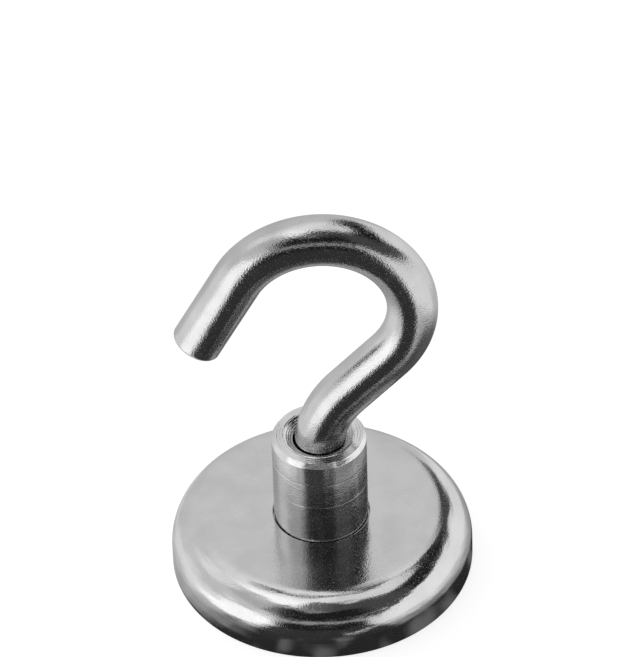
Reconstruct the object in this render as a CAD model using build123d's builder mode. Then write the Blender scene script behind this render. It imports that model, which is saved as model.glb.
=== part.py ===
"""Magnetic hook: a pot magnet with a threaded boss on its face and a wire hook screwed into the boss.

The cup stands on its open side, at z = 0, with its axis on +Z. The hook lies in the XZ plane with its
tip towards -X. All sizes are in millimetres.
"""
from build123d import *
from math import radians, tan
import os

os.makedirs("parts", exist_ok=True)

# Magnet: a plain disc, glued into the cup a little behind its rim
magnet_diameter = 25.0
magnet_thickness = 3.0
magnet_recess = 0.2

# Resin: a thin film behind the magnet and a ring round it
resin_film = 0.15
resin_ring_width = 1.0
resin_setback = 0.1

# Cup: a steel pot round the magnet, which carries the field from the magnet's back to the rim
cup_wall = 2.5
cup_web = 2.85
cup_shoulder_radius = 4.0
foot_recess_depth = 0.6
foot_recess_clearance = 0.1

# Boss: a turned bush that stands on the cup's face, held by a riveted spigot
boss_wall = 2.0
boss_height = 10.95
boss_top_chamfer = 0.4
boss_mouth_width = 0.6
boss_mouth_depth = 0.35
boss_seat_width = 1.0
bore_depth = 9.0
drill_point_angle = 118.0
spigot_clearance = 0.05
rivet_flare = 0.7

# Hook: one bent wire with a thread rolled on its straight end
wire_diameter = 5.3
thread_crest_rise = 0.3
thread_clearance = 0.05
shank_end_gap = 0.5
shank_lead_in = 0.7
shank_plain_neck = 0.6
shank_bend_depth = 1.85
neck_bend_radius = 11.2
neck_bend_angle = 43.0
neck_straight = 6.6
bight_inner_diameter = 13.8
bight_angle = 194.4
tip_straight = 9.5
tip_edge_chamfer = 0.35

# Heights and widths that follow from those sizes
magnet_face_z = magnet_recess
magnet_back_z = magnet_face_z + magnet_thickness
pocket_floor_z = magnet_back_z + resin_film
cup_height = pocket_floor_z + cup_web
magnet_radius = magnet_diameter / 2
pocket_radius = magnet_radius + resin_ring_width
cup_radius = pocket_radius + cup_wall
resin_face_z = magnet_face_z + resin_setback

wire_radius = wire_diameter / 2
shank_radius = wire_radius + thread_crest_rise
bore_radius = shank_radius + thread_clearance
boss_radius = bore_radius + boss_wall
spigot_radius = boss_radius - boss_seat_width
boss_seat_z = cup_height - foot_recess_depth
boss_top_z = cup_height + boss_height
bore_floor_z = boss_top_z - bore_depth
drill_tip_z = bore_floor_z - bore_radius / tan(radians(drill_point_angle / 2))

shank_end_z = bore_floor_z + shank_end_gap
shank_bend_z = boss_top_z - shank_bend_depth
shank_run_out_z = shank_bend_z - shank_plain_neck
bight_radius = bight_inner_diameter / 2 + wire_radius


# Magnet: a plain ground disc
with BuildPart() as magnet:
    with BuildSketch(Plane.XY.offset(magnet_face_z)):
        Circle(magnet_radius)
    extrude(amount=magnet_thickness)
magnet.part.label = "magnet"


# Steel cup: a round pot with a large shoulder, a pocket for the magnet and a seat for the boss
with BuildPart() as steel_cup:
    with BuildSketch():
        Circle(cup_radius)
    extrude(amount=cup_height)
    shoulder_edge = steel_cup.edges().filter_by(GeomType.CIRCLE).sort_by(Axis.Z)[-1]
    fillet(shoulder_edge, cup_shoulder_radius)

    with BuildSketch():
        Circle(pocket_radius)
    extrude(amount=pocket_floor_z, mode=Mode.SUBTRACT)

    with Locations((0, 0, cup_height)):
        CounterBoreHole(
            radius=spigot_radius + spigot_clearance,
            counter_bore_radius=boss_radius + foot_recess_clearance,
            counter_bore_depth=foot_recess_depth,
        )
    rivet_edge = steel_cup.edges(Select.LAST).filter_by(GeomType.CIRCLE).sort_by(Axis.Z)[0]
    chamfer(rivet_edge, rivet_flare)
steel_cup.part.label = "steel_cup"


# Threaded boss: turned outside and bored blind, with a spigot riveted over in the pocket floor
with BuildPart() as threaded_boss:
    with BuildSketch(Plane.XZ):
        with BuildLine():
            Polyline(
                (0, pocket_floor_z),
                (spigot_radius + rivet_flare - spigot_clearance, pocket_floor_z),
                (spigot_radius, pocket_floor_z + rivet_flare - spigot_clearance),
                (spigot_radius, boss_seat_z),
                (boss_radius, boss_seat_z),
                (boss_radius, boss_top_z - boss_top_chamfer),
                (boss_radius - boss_top_chamfer, boss_top_z),
                (0, boss_top_z),
                close=True,
            )
        make_face()
    revolve(axis=Axis.Z)
    with BuildSketch(Plane.XZ):
        with BuildLine():
            Polyline(
                (0, drill_tip_z),
                (bore_radius, bore_floor_z),
                (bore_radius, boss_top_z - boss_mouth_depth),
                (bore_radius + boss_mouth_width, boss_top_z),
                (0, boss_top_z),
                close=True,
            )
        make_face()
    revolve(axis=Axis.Z, mode=Mode.SUBTRACT)
threaded_boss.part.label = "threaded_boss"


# Resin fill: what is left of the pocket round and behind the magnet
with BuildPart() as resin_fill:
    with BuildSketch(Plane.XY.offset(resin_face_z)):
        Circle(pocket_radius)
    extrude(amount=pocket_floor_z - resin_face_z)
    add(magnet.part, mode=Mode.SUBTRACT)
resin_fill.part.label = "resin_fill"


# Hook: the wire swept along its bends, with the thread's full diameter on the straight end
with BuildPart() as hook:
    with BuildLine(Plane.XZ):
        shank = Line((0, shank_end_z + shank_lead_in), (0, shank_bend_z))
        neck_bend = JernArc(shank @ 1, shank % 1, neck_bend_radius, -neck_bend_angle)
        neck = Line(neck_bend @ 1, neck_bend @ 1 + neck_bend % 1 * neck_straight)
        bight = JernArc(neck @ 1, neck % 1, bight_radius, bight_angle)
        tip = Line(bight @ 1, bight @ 1 + bight % 1 * tip_straight)
    with BuildSketch(Plane.XY.offset(shank_end_z + shank_lead_in)):
        Circle(wire_radius)
    sweep()
    tip_face = hook.faces().filter_by(GeomType.PLANE).sort_by(Axis.Z)[-1]
    chamfer(tip_face.edges(), tip_edge_chamfer)

    with BuildSketch(Plane.XZ):
        with BuildLine():
            Polyline(
                (0, shank_end_z),
                (shank_radius - shank_lead_in, shank_end_z),
                (shank_radius, shank_end_z + shank_lead_in),
                (shank_radius, shank_run_out_z - thread_crest_rise),
                (wire_radius, shank_run_out_z),
                (0, shank_run_out_z),
                close=True,
            )
        make_face()
    revolve(axis=Axis.Z)
hook.part.label = "hook"


export_step(magnet.part, "parts/magnet.step")
export_step(steel_cup.part, "parts/steel_cup.step")
export_step(threaded_boss.part, "parts/threaded_boss.step")
export_step(resin_fill.part, "parts/resin_fill.step")
export_step(hook.part, "parts/hook.step")
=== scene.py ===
"""Dresses the magnetic hook: a nickel-plated pot magnet, its threaded boss and the wire hook in it.

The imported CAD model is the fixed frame. Each piece made here stands for one of its nodes, or rides on
one of its bodies, with finer edges, a real thread and procedural finishes. The classes hold their sizes
in millimetres, and meshes are in metres, in the frame of the CAD: z = 0 is the face that holds to the
steel, +Z the cup's axis, and the hook lies in the XZ plane with its tip towards -X.
"""

import logging
import math
from collections.abc import Sequence
from dataclasses import dataclass, field
from enum import Enum

import bmesh
import bpy
from mathutils import Matrix, Vector


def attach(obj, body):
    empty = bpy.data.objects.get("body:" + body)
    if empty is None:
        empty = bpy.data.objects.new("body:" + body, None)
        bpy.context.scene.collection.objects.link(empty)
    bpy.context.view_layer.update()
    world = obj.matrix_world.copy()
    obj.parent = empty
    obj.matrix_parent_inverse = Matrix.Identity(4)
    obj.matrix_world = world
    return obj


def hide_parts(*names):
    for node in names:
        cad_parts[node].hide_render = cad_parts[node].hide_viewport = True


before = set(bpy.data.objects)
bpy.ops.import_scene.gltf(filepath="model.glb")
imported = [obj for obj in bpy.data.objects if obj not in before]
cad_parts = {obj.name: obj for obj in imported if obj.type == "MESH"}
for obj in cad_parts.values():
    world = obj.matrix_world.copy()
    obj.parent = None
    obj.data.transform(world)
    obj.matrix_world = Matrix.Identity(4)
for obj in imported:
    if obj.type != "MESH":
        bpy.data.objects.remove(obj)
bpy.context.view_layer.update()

log = logging.getLogger("magnetic_hook")

MM = 0.001
SHARP_ANGLE = math.radians(32)
ON_AXIS = 1e-9
MERGE_DISTANCE = 1e-7

Point = tuple[float, float]
Corner = tuple[float, float, float]
Tree = bpy.types.NodeTree
Socket = bpy.types.NodeSocket

WHITE = (1.0, 1.0, 1.0, 1.0)


def linear(hex_code: str) -> tuple[float, float, float, float]:
    """Turns an sRGB colour into the linear one that shaders take.

    Args:
        hex_code: the colour as six hex digits, such as "c8c8c6".

    Returns:
        Red, green, blue and alpha, each from 0 to 1.
    """
    parts = [int(hex_code[i : i + 2], 16) / 255 for i in (0, 2, 4)]
    return (*[c / 12.92 if c <= 0.04045 else ((c + 0.055) / 1.055) ** 2.4 for c in parts], 1.0)


def add_node(tree: Tree, kind: str, inputs: dict | None = None, **settings: object) -> bpy.types.Node:
    """Adds a node with its settings and links.

    Args:
        tree: the tree that the node goes into.
        kind: the node's type.
        inputs: for each input's name or number, the value it gets, or the output it is linked from. A
            node stands for its first output.
        **settings: the node's own settings, set before its inputs.

    Returns:
        The new node.
    """
    node = tree.nodes.new(kind)
    for key, value in settings.items():
        setattr(node, key, value)
    for key, value in (inputs or {}).items():
        value = value.outputs[0] if isinstance(value, bpy.types.Node) else value
        if isinstance(value, Socket):
            tree.links.new(value, node.inputs[key])
        else:
            node.inputs[key].default_value = value
    return node


def in_millimetres(tree: Tree) -> Socket:
    """Gives the place on a piece in millimetres.

    Args:
        tree: the material's node tree.

    Returns:
        The place, as a vector.
    """
    spot = add_node(tree, "ShaderNodeTexCoord").outputs["Object"]
    return add_node(tree, "ShaderNodeVectorMath", {0: spot, "Scale": 1 / MM}, operation="SCALE").outputs[0]


def new_group(name: str, kind: str, inputs: dict[str, str], outputs: dict[str, str]) -> Tree:
    """Starts a node group.

    Args:
        name: the group's name.
        kind: the kind of tree.
        inputs: each input's name, with the type of its socket.
        outputs: the same for each output.

    Returns:
        The group's tree.
    """
    tree = bpy.data.node_groups.new(name, kind)
    for way, sockets in (("INPUT", inputs), ("OUTPUT", outputs)):
        for socket, value in sockets.items():
            tree.interface.new_socket(socket, in_out=way, socket_type=f"NodeSocket{value}")
    return tree


def placed(name: str, data: bpy.types.ID) -> bpy.types.Object:
    """Puts a mesh, a curve or a camera into the scene.

    Args:
        name: the new object's name.
        data: what it holds.

    Returns:
        The new object.
    """
    holder = bpy.data.objects.new(name, data)
    bpy.context.scene.collection.objects.link(holder)
    return holder


class Lay(Enum):
    """How a nickel-plated surface was made before plating, which sets the way that its marks run."""

    SPUN = "rings round the axis, mostly tumbled away: a pressed and barrel-polished cup"
    TURNED = "rings round the axis: cut on a lathe"
    DRAWN = "along the wire: drawn through a die"
    GROUND = "no direction: ground flat, then plated"


@dataclass(frozen=True)
class NickelPlate:
    """Bright nickel plate over steel. A mirror to the eye, broken up by the grain of the steel below.

    Sizes are in millimetres. The steel's real grain and pits are hundredths of a millimetre across. They are
    drawn coarser here, so that they show. The crown is how far the face falls over its reach from the axis.
    """

    name: str
    lay: Lay
    colour: str = "d0d0d0"
    clouded: str = "c6c6c6"
    edge_colour: str = "dedede"
    roughness: float = 0.11
    roughness_spread: float = 0.02
    anisotropy: float = 0.0
    quarter_turn: float = 0.25
    grain: float = 0.24
    grain_height: float = 0.03
    ripple: float = 2.4
    ripple_height: float = 0.03
    ripple_from: float = 0.0
    stretch: float = 1.0
    crown: float = 0.0
    crown_reach: Point = (7.0, 13.0)
    haze: float = 1.2
    haze_range: Point = (0.3, 0.7)
    pit: float = 0.13
    pit_range: Point = (0.6, 0.7)
    pit_roughness: float = 0.28
    cloud: float = 4.0
    cloud_range: Point = (0.35, 0.65)

    def _place(self, tree: Tree) -> dict[str, Socket]:
        """Gives the place on the surface in millimetres, drawn out along its marks.

        Rings round the axis take their height and their distance from the axis in full, and the way round
        only in part, so that no seam shows.

        Args:
            tree: the material's node tree.

        Returns:
            The vector and the fourth coordinate for a noise texture.
        """
        if self.lay is Lay.DRAWN:
            lay = add_node(tree, "ShaderNodeAttribute", attribute_name="lay").outputs["Vector"]
            drawn = add_node(
                tree, "ShaderNodeVectorMath", {0: lay, 1: (1.0, 1.0, self.stretch)}, operation="MULTIPLY")
            return {"Vector": drawn.outputs[0]}
        spot = in_millimetres(tree)
        if self.lay is Lay.GROUND:
            return {"Vector": spot}
        flat = add_node(tree, "ShaderNodeVectorMath", {0: spot, 1: (1.0, 1.0, 0.0)}, operation="MULTIPLY")
        reach = add_node(tree, "ShaderNodeVectorMath", {0: flat}, operation="LENGTH")
        share = (self.stretch, self.stretch, 1.0)
        drawn = add_node(tree, "ShaderNodeVectorMath", {0: spot, 1: share}, operation="MULTIPLY")
        return {"Vector": drawn.outputs[0], "W": reach.outputs["Value"]}

    def _relief(self, tree: Tree, spot: Socket) -> Socket:
        """Lays the fine grain over the slow ripple and the crown.

        Args:
            tree: the material's node tree.
            spot: the place on the piece, in millimetres.

        Returns:
            The surface normal that they give.
        """
        place = self._place(tree)
        grained = {"Vector": spot} if self.lay is Lay.SPUN else place
        grain, wave = (
            add_node(tree, "ShaderNodeTexNoise", {
                **where, "Scale": 1 / size, "Detail": detail}, noise_dimensions="4D")
            for where, size, detail in ((grained, self.grain, 2.0), (place, self.ripple, 1.0))
        )
        if self.ripple_from:
            full = self.ripple_from + 2 * self.ripple
            reached = add_node(tree, "ShaderNodeMapRange", {
                "Value": place["W"], "From Min": self.ripple_from, "From Max": full},
                interpolation_type="SMOOTHSTEP")
            wave = add_node(tree, "ShaderNodeMath", {0: wave, 1: reached}, operation="MULTIPLY")
        if self.crown:
            fallen = add_node(tree, "ShaderNodeMapRange", {
                "Value": place["W"], "From Min": self.crown_reach[0], "From Max": self.crown_reach[1],
                "To Max": -self.crown / self.ripple_height}, interpolation_type="SMOOTHSTEP")
            wave = add_node(tree, "ShaderNodeMath", {0: wave, 1: fallen}, operation="ADD")
        slow = add_node(
            tree, "ShaderNodeBump", {"Height": wave, "Distance": self.ripple_height * MM, "Strength": 1.0})
        fine = add_node(tree, "ShaderNodeBump", {
            "Height": grain, "Distance": self.grain_height * MM, "Strength": 1.0, "Normal": slow})
        return fine.outputs["Normal"]

    def _dullness(self, tree: Tree, spot: Socket) -> Socket:
        """Spreads a slight haze over the plate, with duller pits in it.

        Args:
            tree: the material's node tree.
            spot: the place on the piece, in millimetres.

        Returns:
            The roughness.
        """
        haze = add_node(
            tree, "ShaderNodeTexNoise", {"Vector": spot, "Scale": 1 / self.haze, "Detail": 3.0},
            noise_dimensions="4D")
        least, most = self.roughness - self.roughness_spread, self.roughness + self.roughness_spread
        gloss = add_node(tree, "ShaderNodeMapRange", {
            "Value": haze, "From Min": self.haze_range[0], "From Max": self.haze_range[1], "To Min": least,
            "To Max": most})
        pits = add_node(tree, "ShaderNodeTexNoise", {"Vector": spot, "Scale": 1 / self.pit, "Detail": 1.0})
        pitted = add_node(tree, "ShaderNodeMapRange", {
            "Value": pits, "From Min": self.pit_range[0], "From Max": self.pit_range[1], "To Min": 0.0,
            "To Max": self.pit_roughness})
        both = add_node(tree, "ShaderNodeMath", {0: gloss, 1: pitted}, operation="ADD")
        return both.outputs[0]

    def material(self) -> bpy.types.Material:
        """Makes the material: faint clouds of tone, an uneven gloss, and grain and ripple as relief."""
        made = bpy.data.materials.new(self.name)
        made.use_nodes = True
        tree = made.node_tree
        shader = tree.nodes["Principled BSDF"]
        spot = in_millimetres(tree)
        shader.inputs["Metallic"].default_value = 1.0
        shader.inputs["Specular Tint"].default_value = linear(self.edge_colour)
        cloud = add_node(tree, "ShaderNodeTexNoise", {"Vector": spot, "Scale": 1 / self.cloud, "Detail": 3.0})
        patch = add_node(tree, "ShaderNodeMapRange", {
            "Value": cloud, "From Min": self.cloud_range[0], "From Max": self.cloud_range[1]})
        tone = add_node(tree, "ShaderNodeMix", {
            0: patch, 6: linear(self.colour), 7: linear(self.clouded)}, data_type="RGBA")
        tree.links.new(tone.outputs[2], shader.inputs["Base Color"])
        tree.links.new(self._dullness(tree, spot), shader.inputs["Roughness"])
        tree.links.new(self._relief(tree, spot), shader.inputs["Normal"])
        if self.anisotropy:
            shader.inputs["Anisotropic"].default_value = self.anisotropy
            shader.inputs["Anisotropic Rotation"].default_value = self.quarter_turn
            round_axis = add_node(tree, "ShaderNodeTangent", direction_type="RADIAL", axis="Z")
            tree.links.new(round_axis.outputs["Tangent"], shader.inputs["Tangent"])
        return made


@dataclass(frozen=True)
class EpoxyResin:
    """Cast epoxy round the magnet: dark grey, smooth where it flowed, dulled by tiny bubbles and dust."""

    name: str = "epoxy_resin_cast"
    colour: str = "3a3b3d"
    roughness: float = 0.38
    roughness_spread: float = 0.1
    bubble: float = 0.5
    bubble_depth: float = 0.02
    bubble_range: Point = (0.3, 0.7)

    def material(self) -> bpy.types.Material:
        """Makes the material: an even dark resin with a faint pitted skin."""
        made = bpy.data.materials.new(self.name)
        made.use_nodes = True
        tree = made.node_tree
        shader = tree.nodes["Principled BSDF"]
        spot = in_millimetres(tree)
        pits = add_node(tree, "ShaderNodeTexNoise", {"Vector": spot, "Scale": 1 / self.bubble, "Detail": 4.0})
        skin = add_node(tree, "ShaderNodeBump", {
            "Height": pits, "Distance": self.bubble_depth * MM, "Strength": 1.0})
        least, most = self.roughness - self.roughness_spread, self.roughness + self.roughness_spread
        gloss = add_node(tree, "ShaderNodeMapRange", {
            "Value": pits, "From Min": self.bubble_range[0], "From Max": self.bubble_range[1],
            "To Min": least, "To Max": most})
        shader.inputs["Base Color"].default_value = linear(self.colour)
        tree.links.new(gloss.outputs["Result"], shader.inputs["Roughness"])
        tree.links.new(skin.outputs["Normal"], shader.inputs["Normal"])
        return made


@dataclass(frozen=True)
class Outline:
    """Half a section of a turned piece: corners of radius, height and rounding, in order round it."""

    corners: Sequence[Corner]
    step: float = math.radians(6)
    hold: float = 0.03

    def points(self) -> list[Point]:
        """Rounds the corners, and holds each straight run with a point close to either end.

        Returns:
            The points of the closed outline, in millimetres.
        """
        arcs = [self._arc(i) for i in range(len(self.corners))]
        points: list[Point] = []
        for arc, following in zip(arcs, arcs[1:] + arcs[:1]):
            points += arc
            start, end = Vector(arc[-1]), Vector(following[0])
            run = (end - start).length
            on_axis = max(start.x, end.x) < ON_AXIS
            if run > 4 * self.hold and not on_axis:
                along = (end - start) / run * self.hold
                points += [tuple(p) for p in (start + along, end - along) if p.x > ON_AXIS]
        return points

    def _arc(self, i: int) -> list[Point]:
        """Gives the points that round one corner.

        Args:
            i: the corner's place in the list.

        Returns:
            The points from where the arc leaves one side to where it meets the next.
        """
        r, z, rounding = self.corners[i]
        here = Vector((r, z))
        if rounding == 0:
            return [(r, z)]
        before = Vector(self.corners[i - 1][:2]) - here
        after = Vector(self.corners[(i + 1) % len(self.corners)][:2]) - here
        before.normalize()
        after.normalize()
        half = before.angle(after) / 2
        centre = here + (before + after).normalized() * rounding / math.sin(half)
        first = here + before * rounding / math.tan(half) - centre
        last = here + after * rounding / math.tan(half) - centre
        turn = first.angle_signed(last)
        count = max(2, round(abs(turn) / self.step))
        return [tuple(centre + Matrix.Rotation(-turn * k / count, 2) @ first) for k in range(count + 1)]


def revolved(name: str, outline: Outline, segments: int = 240) -> bpy.types.Object:
    """Turns an outline round the Z axis into a closed mesh with its faces outwards.

    Args:
        name: the piece's name.
        outline: the half section. Points on the axis become single poles.
        segments: how many steps go round.

    Returns:
        The new piece.
    """
    body = bmesh.new()
    rings = []
    for r, z in outline.points():
        if r < ON_AXIS:
            rings.append([body.verts.new((0, 0, z * MM))] * segments)
        else:
            turns = [2 * math.pi * k / segments for k in range(segments)]
            places = [(r * math.cos(a) * MM, r * math.sin(a) * MM, z * MM) for a in turns]
            rings.append([body.verts.new(place) for place in places])
    for ring, following in zip(rings, rings[1:] + rings[:1]):
        for k in range(segments):
            loop = [ring[k], ring[(k + 1) % segments], following[(k + 1) % segments], following[k]]
            loop = list(dict.fromkeys(loop))
            if len(loop) > 2:
                body.faces.new(loop)
    return finished(name, body)


def finished(name: str, body: bmesh.types.BMesh) -> bpy.types.Object:
    """Closes a mesh into a shaded piece with its faces outwards.

    Args:
        name: the piece's name.
        body: the mesh in the making, which is freed.

    Returns:
        The new piece, linked to the scene.
    """
    bmesh.ops.remove_doubles(body, verts=body.verts, dist=MERGE_DISTANCE)
    bmesh.ops.recalc_face_normals(body, faces=body.faces)
    mesh = bpy.data.meshes.new(name)
    body.to_mesh(mesh)
    body.free()
    mesh.shade_smooth()
    mesh.set_sharp_from_angle(angle=SHARP_ANGLE)
    return placed(name, mesh)


def baked(
    name: str, source: bpy.types.Object, tree: Tree, sizes: dict[str, object]
) -> bpy.types.Object:
    """Runs a Geometry Nodes tree on an object and keeps the result as a plain mesh.

    Args:
        name: the piece's name.
        source: the object that the tree starts from, which is removed.
        tree: the Geometry Nodes tree.
        sizes: the value of each named input.

    Returns:
        The new piece.
    """
    modifier = source.modifiers.new(tree.name, "NODES")
    modifier.node_group = tree
    for item in tree.interface.items_tree:
        if item.item_type == "SOCKET" and item.in_out == "INPUT" and item.name in sizes:
            modifier[item.identifier] = sizes[item.name]
    evaluated = source.evaluated_get(bpy.context.evaluated_depsgraph_get())
    mesh = bpy.data.meshes.new_from_object(evaluated)
    source.modifiers.remove(modifier)
    bpy.data.objects.remove(source)
    body = bmesh.new()
    body.from_mesh(mesh)
    materials = list(mesh.materials)
    bpy.data.meshes.remove(mesh)
    piece = finished(name, body)
    for material in materials:
        piece.data.materials.append(material)
    return piece


def dressed(
    piece: bpy.types.Object, body: str, material: bpy.types.Material, replaces: str | None = None
) -> None:
    """Gives a piece its material and its body, hides the CAD part that it replaces, and reports it.

    Args:
        piece: the piece.
        body: the CAD body that it rides on.
        material: the finish.
        replaces: the CAD node that it stands for.
    """
    piece.data.materials.clear()
    piece.data.materials.append(material)
    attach(piece, body)
    if replaces:
        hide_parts(replaces)
    log.info("%s: %d faces, on %s, %s", piece.name, len(piece.data.polygons), body, material.name)


@dataclass
class PotMagnet:
    """The steel cup, the magnet disc in its pocket and the resin that holds it there."""

    cup_radius: float = 16.0
    cup_height: float = 6.2
    shoulder: float = 4.0
    rim_round: float = 0.12
    inner_rim_round: float = 0.15
    recess_round: float = 0.12
    seat_round: float = 0.03
    edge_round: float = 0.05
    pocket_round: float = 0.3
    pocket_radius: float = 13.5
    pocket_floor: float = 3.35
    magnet_radius: float = 12.5
    magnet_face: float = 0.2
    magnet_back: float = 3.2
    magnet_round: float = 0.25
    resin_face: float = 0.3
    resin_hollow: float = 0.12
    resin_slope: float = 0.3
    resin_round: float = 0.3
    resin_back_round: float = 0.28
    resin_film_round: float = 0.2
    seat_radius: float = 5.1
    seat_height: float = 5.6
    hole_radius: float = 4.05
    flare: float = 0.7

    def cup(self) -> bpy.types.Object:
        """Makes the cup, with its broad shoulder, its pocket and the recess round the boss's foot."""
        return revolved("pot_cup", Outline([
            (self.pocket_radius, 0, self.inner_rim_round),
            (self.cup_radius, 0, self.rim_round),
            (self.cup_radius, self.cup_height, self.shoulder),
            (self.seat_radius, self.cup_height, self.recess_round),
            (self.seat_radius, self.seat_height, self.seat_round),
            (self.hole_radius, self.seat_height, self.edge_round),
            (self.hole_radius, self.pocket_floor + self.flare, self.edge_round),
            (self.hole_radius + self.flare, self.pocket_floor, self.edge_round),
            (self.pocket_radius, self.pocket_floor, self.pocket_round),
        ], step=math.radians(3)))

    def magnet(self) -> bpy.types.Object:
        """Makes the magnet disc, with rounded edges."""
        return revolved("magnet_disc", Outline([
            (0, self.magnet_face, 0),
            (self.magnet_radius, self.magnet_face, self.magnet_round),
            (self.magnet_radius, self.magnet_back, self.magnet_round),
            (0, self.magnet_back, 0),
        ], step=math.radians(15)))

    def resin(self) -> bpy.types.Object:
        """Makes the resin: a film behind the magnet and a ring round it, whose face sank as it set."""
        inner, outer, low = self.magnet_radius, self.pocket_radius, self.resin_face
        deep, width = low + self.resin_hollow, self.pocket_radius - self.magnet_radius
        return revolved("resin_ring", Outline([
            (0, self.pocket_floor, 0),
            (outer, self.pocket_floor, self.resin_back_round),
            (outer, low, 0),
            (outer - self.resin_slope * width, deep, self.resin_round),
            (inner + self.resin_slope * width, deep, self.resin_round),
            (inner, low, 0),
            (inner, self.magnet_back, self.resin_film_round),
            (0, self.magnet_back, 0),
        ], step=math.radians(8)))

    def build(self) -> None:
        """Makes and dresses the cup, the magnet and the resin."""
        # A pressed cup, barrel-polished: nearly a clean mirror, whose reflections waver over the shoulder
        spun = NickelPlate(
            "nickel_plate_spun", Lay.SPUN, grain=0.17, grain_height=0.01, ripple=0.9, ripple_height=0.07,
            ripple_from=self.cup_radius - self.shoulder, stretch=0.25, crown=0.12, pit_roughness=0.18)
        # A ground disc, thinly plated: flat and satin, with no marks that run one way
        ground = NickelPlate(
            "nickel_plate_ground", Lay.GROUND, roughness=0.24, grain_height=0.008, ripple_height=0.004)
        dressed(self.cup(), "base", spun.material(), "steel_cup")
        dressed(self.magnet(), "base", ground.material(), "magnet")
        dressed(self.resin(), "base", EpoxyResin().material(), "resin_fill")


@dataclass(frozen=True)
class ThreadForm:
    """A screw thread as one ridge that winds up a core, or round the inside of a bore."""

    name: str
    core_radius: float
    crest_radius: float
    bottom: float
    top: float
    pitch: float = 1.0
    root_width: float = 0.86
    crest_width: float = 0.14
    bite: float = 0.06
    fade: float = 5.0
    least_fade: float = 0.05
    steps_per_turn: int = 72

    def _tree(self) -> Tree:
        """Builds the tree: a trapezoid swept up a helix, fading out at both ends.

        Returns:
            The Geometry Nodes tree.
        """
        sizes = (
            "Core Radius", "Depth", "Bite", "Root Width", "Crest Width", "Bottom", "Height", "Turns", "Fade",
        )
        tree = new_group(
            "thread_ridge", "GeometryNodeTree",
            {**dict.fromkeys(sizes, "Float"), "Steps": "Int", "Finish": "Material"}, {"Ridge": "Geometry"})
        size = add_node(tree, "NodeGroupInput").outputs
        helix = add_node(tree, "GeometryNodeCurveSpiral", {
            "Resolution": size["Steps"], "Rotations": size["Turns"], "Start Radius": size["Core Radius"],
            "End Radius": size["Core Radius"], "Height": size["Height"]})
        rise = add_node(tree, "ShaderNodeCombineXYZ", {"Z": size["Bottom"]})
        raised = add_node(tree, "GeometryNodeTransform", {"Geometry": helix, "Translation": rise})
        level = add_node(tree, "GeometryNodeSetCurveNormal", {"Curve": raised}, mode="Z_UP")
        along = add_node(tree, "GeometryNodeSplineParameter").outputs["Length"]
        whole = add_node(tree, "GeometryNodeSplineLength").outputs["Length"]
        left = add_node(tree, "ShaderNodeMath", {0: whole, 1: along}, operation="SUBTRACT")
        nearer = add_node(tree, "ShaderNodeMath", {0: along, 1: left}, operation="MINIMUM")
        growth = add_node(tree, "ShaderNodeMapRange", {
            "Value": nearer, "From Max": size["Fade"], "To Min": self.least_fade, "To Max": 1.0},
            interpolation_type="SMOOTHSTEP")
        inward = add_node(tree, "ShaderNodeMath", {0: size["Bite"], 1: -1.0}, operation="MULTIPLY")
        corners = {}
        for reach, width, side in (
            (inward, "Root Width", -0.5), (size["Depth"], "Crest Width", -0.5),
            (size["Depth"], "Crest Width", 0.5), (inward, "Root Width", 0.5),
        ):
            half = add_node(tree, "ShaderNodeMath", {0: size[width], 1: side}, operation="MULTIPLY")
            corner = add_node(tree, "ShaderNodeCombineXYZ", {"X": reach, "Y": half})
            corners[f"Point {len(corners) + 1}"] = corner
        form = add_node(tree, "GeometryNodeCurvePrimitiveQuadrilateral", corners, mode="POINTS")
        ridge = add_node(tree, "GeometryNodeCurveToMesh", {
            "Curve": level, "Profile Curve": form, "Scale": growth,
            "Fill Caps": True})
        solid = add_node(tree, "GeometryNodeRealizeInstances", {"Geometry": ridge})
        plated = add_node(tree, "GeometryNodeSetMaterial", {"Geometry": solid, "Material": size["Finish"]})
        add_node(tree, "NodeGroupOutput", {"Ridge": plated})
        return tree

    def ridge(self, finish: bpy.types.Material) -> bpy.types.Object:
        """Makes the ridge.

        Args:
            finish: the material of the piece.

        Returns:
            The new piece.
        """
        height = self.top - self.bottom
        source = placed(self.name, bpy.data.meshes.new(self.name))
        outwards = 1 if self.crest_radius > self.core_radius else -1
        return baked(self.name, source, self._tree(), {
            "Core Radius": self.core_radius * MM, "Depth": (self.crest_radius - self.core_radius) * MM,
            "Bite": self.bite * MM * outwards, "Root Width": self.root_width * MM,
            "Crest Width": self.crest_width * MM, "Bottom": self.bottom * MM, "Height": height * MM,
            "Turns": height / self.pitch, "Fade": self.fade * MM, "Steps": self.steps_per_turn,
            "Finish": finish})


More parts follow.
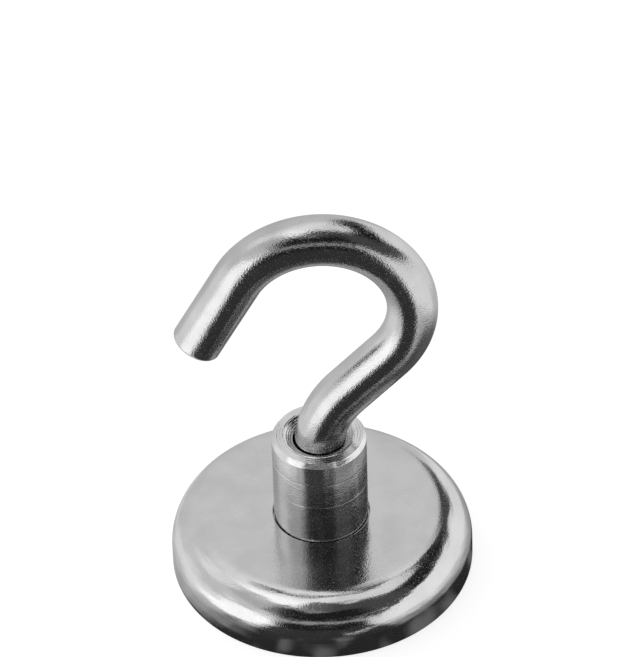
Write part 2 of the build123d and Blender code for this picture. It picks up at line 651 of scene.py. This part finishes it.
@dataclass
class ThreadedBoss:
    """The turned bush on the cup's face, with its countersunk mouth and the first turns of its thread."""

    radius: float = 5.0
    top: float = 17.15
    top_chamfer: float = 0.35
    top_chamfer_height: float = 0.54
    mouth_radius: float = 3.65
    crest_radius: float = 2.77
    crest_top: float = 16.6
    crest_bottom: float = 16.3
    thread_bottom: float = 14.95
    thread_root_width: float = 0.8
    thread_relief: float = 0.2
    bore_radius: float = 3.0
    bore_floor: float = 8.15
    drill_tip: float = 6.35
    seat: float = 5.6
    spigot_radius: float = 4.0
    rivet_radius: float = 4.65
    rivet_face: float = 3.35
    ring_marks: tuple[float, ...] = (11.1, 14.2)
    ring_depth: float = 0.012
    ring_spread: float = 8.0
    tool_marks: tuple[Point, ...] = ((4.4, 0.012), (4.1, 0.012), (3.76, 0.045))
    tool_mark_width: float = 0.04
    mouth_marks: tuple[float, ...] = (0.25, 0.5, 0.75)
    mouth_mark_depth: float = 0.03
    edge_round: float = 0.05
    seat_round: float = 0.03
    mark_round: float = 0.01
    chamfer_round: float = 0.08
    mouth_round: float = 0.02
    crest_round: float = 0.03

    def bush(self) -> bpy.types.Object:
        """Makes the bush, with the rings that the lathe tool left on its side and on its end."""
        rivet_top = self.rivet_face + self.rivet_radius - self.spigot_radius
        corners = [
            (0, self.rivet_face, 0),
            (self.rivet_radius, self.rivet_face, self.edge_round),
            (self.spigot_radius, rivet_top, self.edge_round),
            (self.spigot_radius, self.seat, self.seat_round),
            (self.radius, self.seat, self.edge_round),
        ]
        for z in self.ring_marks:
            wide = self.ring_spread * self.ring_depth
            corners += [
                (self.radius, z - wide, 0), (self.radius - self.ring_depth, z, self.mark_round),
                (self.radius, z + wide, 0),
            ]
        corners += [
            (self.radius, self.top - self.top_chamfer_height, self.chamfer_round),
            (self.radius - self.top_chamfer, self.top, self.edge_round),
        ]
        for r, depth in self.tool_marks:
            wide = self.tool_mark_width + depth
            corners += [
                (r + wide, self.top, 0), (r, self.top - depth, self.mark_round), (r - wide, self.top, 0),
            ]
        corners += [(self.mouth_radius, self.top, self.mouth_round)]
        width, depth = self.mouth_radius - self.crest_radius, self.top - self.crest_top
        for share in self.mouth_marks:
            r, z = self.mouth_radius - share * width, self.top - share * depth
            wide = 2 * self.mouth_mark_depth
            corners += [
                (r + wide, z + wide * depth / width, 0), (r, z - self.mouth_mark_depth, self.mark_round),
                (r - wide, z - wide * depth / width, 0),
            ]
        corners += [
            (self.crest_radius, self.crest_top, self.crest_round),
            (self.crest_radius, self.crest_bottom, self.crest_round),
            (self.bore_radius, self.crest_bottom - self.thread_relief, self.crest_round),
            (self.bore_radius, self.bore_floor, self.edge_round),
            (0, self.drill_tip, 0),
        ]
        return revolved("boss_bush", Outline(corners, step=math.radians(12), hold=0.02))

    def build(self) -> None:
        """Makes and dresses the bush and the part of its thread that shows round the wire."""
        # Turned steel: fine rings that smear what it mirrors up and down the boss into streaks
        turned = NickelPlate(
            "nickel_plate_turned", Lay.TURNED, colour="e2e2e2", clouded="d2d2d2", roughness=0.15,
            roughness_spread=0.03, anisotropy=0.7, grain=0.16, grain_height=0.02, ripple=1.2,
            ripple_height=0.03, stretch=0.35, pit_roughness=0.12,
        ).material()
        dressed(self.bush(), "base", turned, "threaded_boss")
        thread = ThreadForm(
            "boss_thread", self.bore_radius, self.crest_radius, bottom=self.thread_bottom,
            top=self.crest_bottom, root_width=self.thread_root_width)
        dressed(thread.ridge(turned), "base", turned)


@dataclass
class WireHook:
    """The bent wire: a threaded shank, a bend out of the boss, a straight, the round bight and the tip."""

    wire_radius: float = 2.65
    core_radius: float = 2.45
    crest_radius: float = 2.95
    shank_end: float = 8.65
    shank_lead_in: float = 0.7
    thread_start: float = 0.3
    thread_end: float = 14.4
    thread_overrun: float = 0.1
    run_out: float = 0.25
    bend_height: float = 15.3
    neck_radius: float = 11.2
    neck_angle: float = -43.0
    neck_straight: float = 6.6
    bight_radius: float = 9.55
    bight_angle: float = 194.4
    tip_straight: float = 9.5
    tip_round: float = 0.4
    tip_steps: int = 8
    around: int = 96
    shank_step: float = 0.5
    bend_step: float = 0.3
    straight_step: float = 0.4
    heading: float = math.pi / 2
    spine: list[tuple[float, float, float]] = field(default_factory=list)

    def _run(self, length: float, step: float, girth: float | None = None) -> None:
        """Carries the spine straight on.

        Args:
            length: how far it goes.
            step: the distance between its points.
            girth: the wire's radius along it, if it isn't the plain wire's.
        """
        count = max(1, round(length / step))
        for _ in range(count):
            self._advance(length / count, 0.0, girth)

    def _bend(self, radius: float, angle: float, step: float) -> None:
        """Carries the spine round a bend.

        Args:
            radius: the bend's radius at the middle of the wire.
            angle: how far it turns, in degrees, positive to the left.
            step: the distance between its points.
        """
        whole = math.radians(angle)
        count = round(radius * abs(whole) / step)
        for _ in range(count):
            self._advance(2 * radius * math.sin(abs(whole) / count / 2), whole / count, None)

    def _advance(self, chord: float, turn: float, girth: float | None) -> None:
        """Adds one point to the spine.

        Args:
            chord: the distance to it.
            turn: how far the heading turns on the way, in radians.
            girth: the wire's radius there, if it isn't the plain wire's.
        """
        x, z, _ = self.spine[-1]
        self.heading += turn / 2
        self.spine.append((
            x + chord * math.cos(self.heading), z + chord * math.sin(self.heading), girth or self.wire_radius
        ))
        self.heading += turn / 2

    def _lay_spine(self) -> None:
        """Lays the wire's middle line, with its radius at each point, from the shank's end to the tip."""
        self.spine = [(0.0, self.shank_end, self.core_radius - self.shank_lead_in / 2)]
        self._run(self.shank_lead_in, self.shank_lead_in, self.core_radius)
        self._run(self.thread_end - self.shank_end - self.shank_lead_in, self.shank_step, self.core_radius)
        self._run(self.run_out, self.run_out)
        self._run(self.bend_height - self.thread_end - self.run_out, self.bend_step)
        self._bend(self.neck_radius, self.neck_angle, self.bend_step)
        self._run(self.neck_straight, self.straight_step)
        self._bend(self.bight_radius, self.bight_angle, self.bend_step)
        self._run(self.tip_straight - self.tip_round, self.straight_step)
        before = 0.0
        for k in range(1, self.tip_steps + 1):
            lean = math.pi / 2 * k / self.tip_steps
            ahead = self.tip_round * math.sin(lean)
            self._advance(ahead - before, 0.0, self.wire_radius - self.tip_round * (1 - math.cos(lean)))
            before = ahead

    def _tree(self) -> Tree:
        """Builds the tree: a circle swept along the spine, with the place on the wire kept for the finish.

        Returns:
            The Geometry Nodes tree.
        """
        tree = new_group(
            "bent_wire", "GeometryNodeTree",
            {"Spine": "Geometry", "Wire Radius": "Float", "Around": "Int", "Finish": "Material"},
            {"Wire": "Geometry"})
        size = add_node(tree, "NodeGroupInput").outputs
        length = add_node(tree, "GeometryNodeSplineParameter").outputs["Length"]
        spine = add_node(tree, "GeometryNodeStoreNamedAttribute", {
            "Geometry": size["Spine"], "Name": "along", "Value": length}, data_type="FLOAT", domain="POINT")
        girth = add_node(tree, "GeometryNodeInputNamedAttribute", {"Name": "radius"}, data_type="FLOAT")
        ring = add_node(tree, "GeometryNodeCurvePrimitiveCircle", {
            "Resolution": size["Around"], "Radius": size["Wire Radius"]}, mode="RADIUS")
        place = add_node(tree, "GeometryNodeInputPosition")
        ring = add_node(tree, "GeometryNodeStoreNamedAttribute", {
            "Geometry": ring.outputs["Curve"], "Name": "round", "Value": place},
            data_type="FLOAT_VECTOR", domain="POINT")
        wire = add_node(tree, "GeometryNodeCurveToMesh", {
            "Curve": spine, "Profile Curve": ring, "Scale": girth.outputs["Attribute"],
            "Fill Caps": True})
        along = add_node(tree, "GeometryNodeInputNamedAttribute", {"Name": "along"}, data_type="FLOAT")
        across = add_node(
            tree, "GeometryNodeInputNamedAttribute", {"Name": "round"}, data_type="FLOAT_VECTOR")
        side = add_node(tree, "ShaderNodeSeparateXYZ", {0: across.outputs["Attribute"]})
        lay = add_node(tree, "ShaderNodeCombineXYZ", {
            "X": side.outputs["X"], "Y": side.outputs["Y"], "Z": along.outputs["Attribute"]})
        lay = add_node(tree, "ShaderNodeVectorMath", {0: lay, "Scale": 1 / MM}, operation="SCALE")
        marked = add_node(tree, "GeometryNodeStoreNamedAttribute", {
            "Geometry": wire, "Name": "lay", "Value": lay},
            data_type="FLOAT_VECTOR", domain="POINT")
        solid = add_node(tree, "GeometryNodeRealizeInstances", {"Geometry": marked})
        plated = add_node(tree, "GeometryNodeSetMaterial", {"Geometry": solid, "Material": size["Finish"]})
        add_node(tree, "NodeGroupOutput", {"Wire": plated})
        return tree

    def wire(self, finish: bpy.types.Material) -> bpy.types.Object:
        """Makes the bent wire.

        Args:
            finish: the material of the piece.

        Returns:
            The new piece.
        """
        self._lay_spine()
        curve = bpy.data.curves.new("hook_spine", "CURVE")
        curve.dimensions = "3D"
        line = curve.splines.new("POLY")
        line.points.add(len(self.spine) - 1)
        for point, (x, z, girth) in zip(line.points, self.spine):
            point.co = (x * MM, 0.0, z * MM, 1.0)
            point.radius = girth / self.wire_radius
        source = placed("hook_wire", curve)
        return baked("hook_wire", source, self._tree(), {
            "Wire Radius": self.wire_radius * MM, "Around": self.around, "Finish": finish})

    def build(self) -> None:
        """Makes and dresses the wire and the thread rolled on its shank."""
        # Wire drawn through a die: a long mirror, whose edges the fine grain breaks up
        drawn = NickelPlate(
            "nickel_plate_drawn", Lay.DRAWN, colour="c8c8c8", clouded="bcbcbc", roughness=0.075, grain=0.16,
            grain_height=0.025, ripple_height=0.035, stretch=0.9
        ).material()
        dressed(self.wire(drawn), "hook", drawn, "hook")
        thread = ThreadForm(
            "shank_thread", self.core_radius, self.crest_radius, bottom=self.shank_end + self.thread_start,
            top=self.thread_end + self.thread_overrun)
        dressed(thread.ridge(drawn), "hook", drawn)


@dataclass(frozen=True)
class Panel:
    """A soft-edged part of the studio that the metal mirrors, by azimuth and elevation in degrees.

    Azimuth 0 is behind the object, +Y, and 90 is to its right, +X. Elevation is above the horizon.
    """

    azimuth: float
    elevation: float
    half_width: float
    half_height: float
    radiance: float
    softness: float = 5.0


@dataclass
class Studio:
    """A pale floor, a white backdrop, the studio round the object and the camera.

    Sizes are in millimetres. Each panel is laid over the ones before it, and over the plain walls. The
    contact values paint shadow into the floor's glow round the cup's foot, the cast ones paint the wider
    shadow beside it, the mottle values paint soft light patches into that shadow, and the sheen values say
    from how flat to how steep a look the floor changes over. To the metal the floor is a painted reflection
    of the studio.
    """

    walls: float = 0.83
    panels: tuple[Panel, ...] = (
        Panel(0, 90, 400, 35, 1.18, 12),
        Panel(0, -90, 400, 26, 0.7, 5),
        Panel(-75, -50, 36, 30, 1.08, 6),
        Panel(76, -60, 48, 26, 0.78, 8),
        Panel(124, -52, 21, 26, 0.45, 8),
        Panel(60, 73.5, 40, 13, 0.97, 8),
        Panel(-84, -4, 22, 12, 1.06, 8),
        Panel(51, 9, 30, 22, 1.12, 3.5),
        Panel(110, -1, 36, 10, 1.06, 4),
        Panel(110, 36, 30, 26, 0.11, 5),
        Panel(66, 47, 40, 12, 0.02, 3),
        Panel(27, 34, 12, 12, 0.08, 4),
        Panel(-72, 41, 15, 12, 1.12, 7),
        Panel(-104, 70, 48, 10.5, 1.5, 5),
        Panel(-140, 48, 13, 13, 0.17, 5),
        Panel(-111, 50, 19, 12, 0.62, 7),
        Panel(-146, -60, 20, 18, 0.25, 6),
        Panel(176, 71, 35, 13, 0.15, 6),
        Panel(142, 46, 36, 31, 0.085, 6),
        Panel(181.5, -17, 35, 74, 0.018, 5),
        Panel(184, 21.5, 32, 4.5, 0.45, 3),
        Panel(148, -6, 3.5, 29, 1.1, 3),
        Panel(-123, 0, 20, 19, 1.6, 6),
    )
    # A curved card that glows, seen only in the metal: a painted reflection
    card_azimuths: Point = (84.0, 146.0)
    card_distance: float = 60.0
    card_heights: Point = (44.0, 24.0)
    card_radiance: float = 1.17
    card_steps: int = 12
    # Painted shadow in the floor's glow as the metal sees it: close round the cup's foot, then wider beside
    # it
    contact_middle: Point = (1.5, -1.5)
    contact_radii: tuple[float, float, float] = (16.6, 17.4, 26.0)
    contact_levels: tuple[float, float, float] = (0.04, 0.75, 1.0)
    cast_middle: Point = (18.0, 0.0)
    cast_radii: Point = (18.0, 46.0)
    cast_level: float = 0.15
    cast_grazing: float = 0.25
    floor_sheen: Point = (0.8, 0.6)
    cast_sheen: Point = (0.45, 0.25)
    seen_from: float = 22.0
    floor_least: float = 0.03
    # A narrow glowing strip lying on the floor, seen only in the metal: a painted reflection
    strip_across: Point = (4.0, 40.0)
    strip_ahead: Point = (-28.0, -24.5)
    strip_height: float = 0.1
    strip_radiance: float = 0.7
    # Painted light: soft bright patches added inside the painted shadow round the cup's foot
    painted_mottle_size: float = 5.0
    painted_mottle_level: float = 0.14
    painted_mottle_range: Point = (0.5, 0.68)
    clear_radius: float = 16.0
    camera_azimuth: float = 1.0701
    camera_elevation: float = 42.561
    camera_roll: float = -1.9352
    distance: float = 576.0
    look_height: float = 17.6
    look_right: float = 0.25
    look_up: float = 10.69
    focal_length: float = 301.37
    sensor_width: float = 36.0
    clip: Point = (50.0, 20000.0)
    floor_half: float = 1500.0
    floor_gap: float = 0.02
    floor_glow: float = 0.78
    floor_colour: str = "b4b4b4"

    def _panel_group(self) -> Tree:
        """Builds the group that lays one panel over what the studio shows so far.

        Returns:
            The shader node group.
        """
        sizes = ("Below", "Azimuth", "Elevation", "Half Width", "Half Height", "Softness", "Radiance")
        tree = new_group(
            "studio_panel", "ShaderNodeTree", {"Direction": "Vector", **dict.fromkeys(sizes, "Float")},
            {"Radiance": "Float"})
        given = add_node(tree, "NodeGroupInput").outputs
        facing = add_node(tree, "ShaderNodeVectorRotate", {
            "Vector": given["Direction"], "Angle": given["Azimuth"]}, rotation_type="Z_AXIS")
        axes = add_node(tree, "ShaderNodeSeparateXYZ", {0: facing}).outputs
        aside = add_node(tree, "ShaderNodeMath", {0: axes["X"], 1: axes["Y"]}, operation="ARCTAN2")
        height = add_node(tree, "ShaderNodeMath", {0: axes["Z"]}, operation="ARCSINE")
        above = add_node(tree, "ShaderNodeMath", {0: height, 1: given["Elevation"]}, operation="SUBTRACT")
        cover = None
        for off, half in ((aside, given["Half Width"]), (above, given["Half Height"])):
            size = add_node(tree, "ShaderNodeMath", {0: off}, operation="ABSOLUTE")
            inner = add_node(tree, "ShaderNodeMath", {0: half, 1: given["Softness"]}, operation="SUBTRACT")
            outer = add_node(tree, "ShaderNodeMath", {0: half, 1: given["Softness"]}, operation="ADD")
            edge = add_node(tree, "ShaderNodeMapRange", {
                "Value": size, "From Min": inner, "From Max": outer,
                "To Min": 1.0, "To Max": 0.0}, interpolation_type="SMOOTHSTEP")
            cover = edge if cover is None else add_node(
                tree, "ShaderNodeMath", {0: cover, 1: edge}, operation="MULTIPLY")
        laid = add_node(
            tree, "ShaderNodeMix", {0: cover, 2: given["Below"], 3: given["Radiance"]}, data_type="FLOAT")
        add_node(tree, "NodeGroupOutput", {"Radiance": laid})
        return tree

    def _studio_group(self) -> Tree:
        """Builds the group that gives what the studio shows in any direction.

        Returns:
            The shader node group.
        """
        tree = new_group("studio", "ShaderNodeTree", {"Direction": "Vector"}, {"Radiance": "Float"})
        panel_group = self._panel_group()
        direction = add_node(tree, "NodeGroupInput").outputs["Direction"]
        shown: float | bpy.types.Node = self.walls
        for panel in self.panels:
            shown = add_node(tree, "ShaderNodeGroup", {
                "Direction": direction, "Below": shown, "Azimuth": math.radians(panel.azimuth),
                "Elevation": math.radians(panel.elevation), "Half Width": math.radians(panel.half_width),
                "Half Height": math.radians(panel.half_height), "Softness": math.radians(panel.softness),
                "Radiance": panel.radiance}, node_tree=panel_group)
        add_node(tree, "NodeGroupOutput", {"Radiance": shown})
        return tree

    def surroundings(self, studio: Tree) -> None:
        """Lights the object by the studio, and shows white to the camera.

        Args:
            studio: the group that gives what the studio shows in a direction.
        """
        world = bpy.data.worlds.new("studio")
        bpy.context.scene.world = world
        world.use_nodes = True
        tree = world.node_tree
        tree.nodes.clear()
        direction = add_node(tree, "ShaderNodeTexCoord").outputs["Generated"]
        shown = add_node(tree, "ShaderNodeGroup", {"Direction": direction}, node_tree=studio)
        room = add_node(tree, "ShaderNodeBackground", {"Color": WHITE, "Strength": shown})
        white = add_node(tree, "ShaderNodeBackground", {"Color": WHITE, "Strength": 1.0})
        seen = add_node(tree, "ShaderNodeLightPath").outputs["Is Camera Ray"]
        both = add_node(tree, "ShaderNodeMixShader", {0: seen, 1: room, 2: white})
        add_node(tree, "ShaderNodeOutputWorld", {"Surface": both})

    def _painted_light_mottles(self, tree: Tree, flat: Socket, away: Socket) -> Socket:
        """Gives soft painted light mottles in the painted shadow round the cup's foot.

        Args:
            tree: the floor's node tree.
            flat: the place on the floor.
            away: how far it is from the middle of the shade.

        Returns:
            The brightness that they add.
        """
        near = add_node(tree, "ShaderNodeMapRange", {
            "Value": away, "From Min": self.contact_radii[1] * MM, "From Max": self.contact_radii[2] * MM,
            "To Min": self.painted_mottle_level, "To Max": 0.0})
        cloud = add_node(
            tree, "ShaderNodeTexNoise", {"Vector": flat, "Scale": 1 / (self.painted_mottle_size * MM), "Detail": 1.0})
        cloud = add_node(tree, "ShaderNodeMapRange", {
            "Value": cloud, "From Min": self.painted_mottle_range[0], "From Max": self.painted_mottle_range[1]},
            interpolation_type="SMOOTHSTEP")
        painted_mottles = add_node(tree, "ShaderNodeMath", {0: near, 1: cloud}, operation="MULTIPLY")
        return painted_mottles.outputs[0]

    def _cast_shade(self, tree: Tree, flat: Socket, slant: Socket) -> Socket:
        """Gives the wide painted shadow beside the cup, which a flat look shows only in part.

        Args:
            tree: the floor's node tree.
            flat: the place on the floor.
            slant: how flat the look at the floor is.

        Returns:
            The share of the light that is left.
        """
        most, least = self.cast_sheen
        steep = add_node(tree, "ShaderNodeMapRange", {
            "Value": slant, "From Min": least, "From Max": most, "To Min": 1.0, "To Max": 0.0},
            interpolation_type="SMOOTHSTEP")
        middle = (self.cast_middle[0] * MM, self.cast_middle[1] * MM, 0.0)
        away = add_node(tree, "ShaderNodeVectorMath", {0: flat, 1: middle}, operation="DISTANCE")
        cast = add_node(tree, "ShaderNodeMapRange", {
            "Value": away.outputs["Value"], "From Min": self.cast_radii[0] * MM,
            "From Max": self.cast_radii[1] * MM, "To Min": self.cast_level, "To Max": 1.0},
            interpolation_type="SMOOTHSTEP")
        grazed = add_node(tree, "ShaderNodeMix", {0: self.cast_grazing, 2: 1.0, 3: cast}, data_type="FLOAT")
        shade = add_node(tree, "ShaderNodeMix", {0: steep, 2: grazed, 3: cast}, data_type="FLOAT")
        return shade.outputs[0]

    def _floor_level(self, tree: Tree, flat: Socket, studio: Tree) -> Socket:
        """Gives how bright the floor glows for the metal: a painted reflection of the studio low down, with
        painted shadow round the cup.

        Args:
            tree: the floor's node tree.
            flat: the place on the floor.
            studio: the group that gives what the studio shows in a direction.

        Returns:
            The brightness.
        """
        slant = add_node(tree, "ShaderNodeLayerWeight", {"Blend": 0.5}).outputs["Facing"]
        most, least = self.floor_sheen
        # The steeper the look at the floor, the lower the part of the studio that it shows
        dip = add_node(tree, "ShaderNodeMapRange", {
            "Value": slant, "From Min": least, "From Max": most, "To Min": -self.seen_from * MM,
            "To Max": 0.0}, interpolation_type="SMOOTHSTEP")
        lowered = add_node(tree, "ShaderNodeCombineXYZ", {"Z": dip})
        toward = add_node(tree, "ShaderNodeVectorMath", {0: flat, 1: lowered}, operation="ADD")
        toward = add_node(tree, "ShaderNodeVectorMath", {0: toward}, operation="NORMALIZE")
        level = add_node(tree, "ShaderNodeGroup", {"Direction": toward}, node_tree=studio)
        # Painted contact shadow: the glow drops in two steps close round the cup's foot
        middle = (self.contact_middle[0] * MM, self.contact_middle[1] * MM, 0.0)
        away = add_node(tree, "ShaderNodeVectorMath", {0: flat, 1: middle}, operation="DISTANCE")
        away = away.outputs["Value"]
        for k in (0, 1):
            low, high = self.contact_levels[k : k + 2]
            shade = add_node(tree, "ShaderNodeMapRange", {
                "Value": away, "From Min": self.contact_radii[k] * MM,
                "From Max": self.contact_radii[k + 1] * MM, "To Min": low / high, "To Max": 1.0},
                interpolation_type="SMOOTHSTEP")
            level = add_node(tree, "ShaderNodeMath", {0: level, 1: shade}, operation="MULTIPLY")
        # Painted cast shadow: a wider darkening beside the cup
        shade = self._cast_shade(tree, flat, slant)
        level = add_node(tree, "ShaderNodeMath", {0: level, 1: shade}, operation="MULTIPLY")
        level = add_node(tree, "ShaderNodeMath", {0: level, 1: self.floor_least}, operation="ADD")
        # Painted light mottles added into the painted shadow
        painted_mottles = self._painted_light_mottles(tree, flat, away)
        return add_node(tree, "ShaderNodeMath", {0: level, 1: painted_mottles}, operation="ADD").outputs[0]

    def floor(self, studio: Tree) -> None:
        """Lays a pale floor that keeps the object's shadow and can be seen through from below.

        The metal sees it as a painted reflection: a glow that shows the studio low down in the same
        direction, with painted shadow where the cup stands close.

        Args:
            studio: the group that gives what the studio shows in a direction.
        """
        mesh = bpy.data.meshes.new("floor")
        half, low = self.floor_half * MM, -self.floor_gap * MM
        corners = [(-half, -half, low), (half, -half, low), (half, half, low), (-half, half, low)]
        mesh.from_pydata(corners, [], [(0, 1, 2, 3)])
        piece = placed("floor", mesh)
        paper = bpy.data.materials.new("white_paper_sweep")
        paper.use_nodes = True
        paper.cycles.emission_sampling = "NONE"
        tree = paper.node_tree
        tree.nodes.clear()
        lit = add_node(tree, "ShaderNodeBsdfDiffuse", {"Color": linear(self.floor_colour)})
        glow = add_node(tree, "ShaderNodeEmission", {"Color": WHITE, "Strength": self.floor_glow})
        sheet = add_node(tree, "ShaderNodeAddShader", {0: lit, 1: glow})
        spot = add_node(tree, "ShaderNodeTexCoord").outputs["Object"]
        flat = add_node(tree, "ShaderNodeVectorMath", {0: spot, 1: (1.0, 1.0, 0.0)}, operation="MULTIPLY")
        flat = flat.outputs[0]
        reach = add_node(tree, "ShaderNodeVectorMath", {0: flat}, operation="LENGTH").outputs["Value"]
        level = self._floor_level(tree, flat, studio)
        # Painted reflection and painted shadow: to glossy rays the floor glows with the studio's brightness,
        # darker round the cup
        mirrored = add_node(tree, "ShaderNodeEmission", {"Color": WHITE, "Strength": level})
        clear = add_node(tree, "ShaderNodeBsdfTransparent")
        under = add_node(
            tree, "ShaderNodeMath", {0: reach, 1: self.clear_radius * MM}, operation="LESS_THAN")
        mirrored = add_node(tree, "ShaderNodeMixShader", {0: under, 1: mirrored, 2: clear})
        glossy = add_node(tree, "ShaderNodeLightPath").outputs["Is Glossy Ray"]
        above = add_node(tree, "ShaderNodeMixShader", {0: glossy, 1: sheet, 2: mirrored})
        below = add_node(tree, "ShaderNodeNewGeometry").outputs["Backfacing"]
        either = add_node(tree, "ShaderNodeMixShader", {0: below, 1: above, 2: clear})
        add_node(tree, "ShaderNodeOutputMaterial", {"Surface": either})
        mesh.materials.append(paper)

    def card(self, name: str, rows: Sequence[tuple[Corner, Corner]], radiance: float) -> None:
        """Makes a glowing card that only the metal sees: a painted reflection, not a lamp.

        Args:
            name: the card's name.
            rows: pairs of corners along the card, in millimetres.
            radiance: how bright it glows.
        """
        body = bmesh.new()
        pairs = [[body.verts.new(Vector(corner) * MM) for corner in row] for row in rows]
        for first, second in zip(pairs, pairs[1:]):
            body.faces.new((first[0], second[0], second[1], first[1]))
        mesh = bpy.data.meshes.new(name)
        body.to_mesh(mesh)
        body.free()
        piece = placed(name, mesh)
        board = bpy.data.materials.new("glowing_card_for_reflections")
        board.use_nodes = True
        board.cycles.emission_sampling = "NONE"
        tree = board.node_tree
        tree.nodes.clear()
        lit = add_node(tree, "ShaderNodeEmission", {"Color": WHITE, "Strength": radiance})
        add_node(tree, "ShaderNodeOutputMaterial", {"Surface": lit})
        mesh.materials.append(board)
        piece.visible_camera = piece.visible_diffuse = piece.visible_shadow = False

    def cards(self) -> None:
        """Stands a curved glowing card at the right front, and lays a narrow one on the floor before the cup:
        painted reflections that only the metal sees.
        """
        standing = []
        for k in range(self.card_steps + 1):
            azimuth, height = (
                a + (b - a) * k / self.card_steps for a, b in (self.card_azimuths, self.card_heights)
            )
            x, y = (self.card_distance * f(math.radians(azimuth)) for f in (math.sin, math.cos))
            standing.append(((x, y, 0.0), (x, y, height)))
        self.card("glowing_reflection_card", standing, self.card_radiance)
        left, right = self.strip_across
        near, far = self.strip_ahead
        lying = [((x, near, self.strip_height), (x, far, self.strip_height)) for x in (left, right)]
        self.card("glowing_reflection_strip", lying, self.strip_radiance)

    def camera(self) -> None:
        """Sets the camera at the photograph's viewing angle, with the photograph's framing."""
        elevation, azimuth, roll = (
            math.radians(a) for a in (self.camera_elevation, -self.camera_azimuth, self.camera_roll)
        )
        turn = Matrix.Rotation(azimuth, 3, "Z")
        back = turn @ Vector((0, -math.cos(elevation), math.sin(elevation)))
        level = turn @ Vector((1, 0, 0))
        steep = back.cross(level)
        right = level * math.cos(roll) + steep * math.sin(roll)
        up = steep * math.cos(roll) - level * math.sin(roll)
        middle = Vector((0, 0, self.look_height))
        place = middle + back * self.distance
        away = (place - (middle + right * self.look_right + up * self.look_up)).normalized()
        side = up.cross(away).normalized()
        lens = bpy.data.cameras.new("camera")
        lens.lens = self.focal_length
        lens.sensor_width = self.sensor_width
        lens.clip_start, lens.clip_end = (c * MM for c in self.clip)
        holder = placed("camera", lens)
        facing = Matrix((side, away.cross(side), away)).transposed().to_4x4()
        holder.matrix_world = Matrix.Translation(place * MM) @ facing
        bpy.context.scene.camera = holder

    def build(self) -> None:
        """Sets up the world, the floor, the camera and plain colour handling."""
        bpy.context.scene.view_settings.view_transform = "Standard"
        studio = self._studio_group()
        self.surroundings(studio)
        self.floor(studio)
        self.cards()
        self.camera()


def main() -> None:
    """Builds the object and its studio."""
    logging.basicConfig(level=logging.INFO, format="%(message)s")
    PotMagnet().build()
    ThreadedBoss().build()
    WireHook().build()
    Studio().build()


if __name__ == "__main__":
    main()
